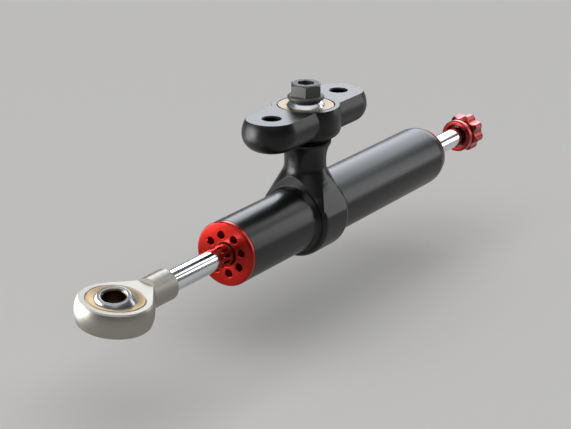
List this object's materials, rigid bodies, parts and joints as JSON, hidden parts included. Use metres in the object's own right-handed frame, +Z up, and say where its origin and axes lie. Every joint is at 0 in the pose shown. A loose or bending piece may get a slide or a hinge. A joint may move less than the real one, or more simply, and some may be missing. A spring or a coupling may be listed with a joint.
{
  "type": "motorcycle steering damper",
  "caption": "Slim through-rod steering damper: tube hung by a waisted neck from an eared bracket on a spherical bearing, with a rod eye in front and a lobed adjuster knob behind.",
  "frame": {"origin": "centre of the bracket's flat seat, on the pivot axis, midway between the two frame bolt holes", "axes": "+X along the rod from the eye to the adjuster knob, +Z up out of the seat along the pivot axis and the frame bolts"},
  "size_m": [0.265, 0.0298, 0.0667],
  "materials": {
    "black_anodised": "satin black anodised aluminium",
    "red_anodised": "turned aluminium, red anodised",
    "hard_chrome": "ground and hard chromed steel",
    "bearing_steel": "polished bearing steel",
    "race_bronze": "turned bronze",
    "plated_forging": "satin nickel plated steel",
    "zinc_flake": "grey zinc flake coated steel",
    "bare_aluminium": "turned aluminium",
    "bush_bronze": "rolled bronze",
    "seal_rubber": "matt black nitrile",
    "guide_band": "filled PTFE",
    "spring_steel": "oiled spring steel"
  },
  "bodies": {
    "bracket": {"frame_bracket": "black_anodised", "pivot_race": "race_bronze"},
    "swivel": {"pivot_ball": "bearing_steel"},
    "damper": {"damper_body": "black_anodised", "pivot_bolt": "zinc_flake", "front_cap": "red_anodised", "rear_cap": "red_anodised", "front_rod_guide": "bare_aluminium", "rear_rod_guide": "bare_aluminium", "front_guide_oring": "seal_rubber", "rear_guide_oring": "seal_rubber", "front_bush": "bush_bronze", "rear_bush": "bush_bronze", "front_rod_seal": "seal_rubber", "rear_rod_seal": "seal_rubber", "front_wiper": "seal_rubber", "rear_wiper": "seal_rubber"},
    "piston_head": {"piston": "bare_aluminium", "piston_ring": "guide_band"},
    "rod": {"piston_rod": "hard_chrome", "piston_clips": "spring_steel", "rod_end": "plated_forging", "rod_end_race": "race_bronze", "knob_clip": "spring_steel"},
    "eye_ball": {"rod_end_ball": "bearing_steel"},
    "knob": {"adjuster_knob": "red_anodised", "detent_ball": "bearing_steel", "detent_spring": "spring_steel"},
    "needle": {"adjuster_needle": "bare_aluminium", "needle_oring": "seal_rubber"}
  },
  "joints": [
    {"name": "pivot_tilt", "type": "hinge", "parent": "bracket", "child": "swivel", "pos_m": [0, 0, -0.0045], "axis": [0, 1, 0], "range_deg": [-8, 8]},
    {"name": "damper_swing", "type": "hinge", "parent": "swivel", "child": "damper", "pos_m": [0, 0, -0.0045], "axis": [0, 0, 1], "continuous": true},
    {"name": "rod_stroke", "type": "slide", "parent": "damper", "child": "piston_head", "axis": [1, 0, 0], "range_m": [-0.0285, 0.035]},
    {"name": "rod_spin", "type": "hinge", "parent": "piston_head", "child": "rod", "pos_m": [0, 0, -0.0435], "axis": [1, 0, 0], "continuous": true},
    {"name": "eye_tilt", "type": "hinge", "parent": "rod", "child": "eye_ball", "pos_m": [-0.1185, 0, -0.0435], "axis": [0, 0.9934, 0.1149], "range_deg": [-5, 25]},
    {"name": "knob_turn", "type": "hinge", "parent": "rod", "child": "knob", "pos_m": [0.1213, 0, -0.0435], "axis": [1, 0, 0], "range_deg": [-360, 360]},
    {"name": "needle_feed", "type": "slide", "parent": "rod", "child": "needle", "axis": [1, 0, 0], "range_m": [-0.0005, 0.0005]}
  ],
  "couplings": [
    {"joint": "knob_turn", "follows": "needle_feed", "rad_per_m": 12566}
  ]
}
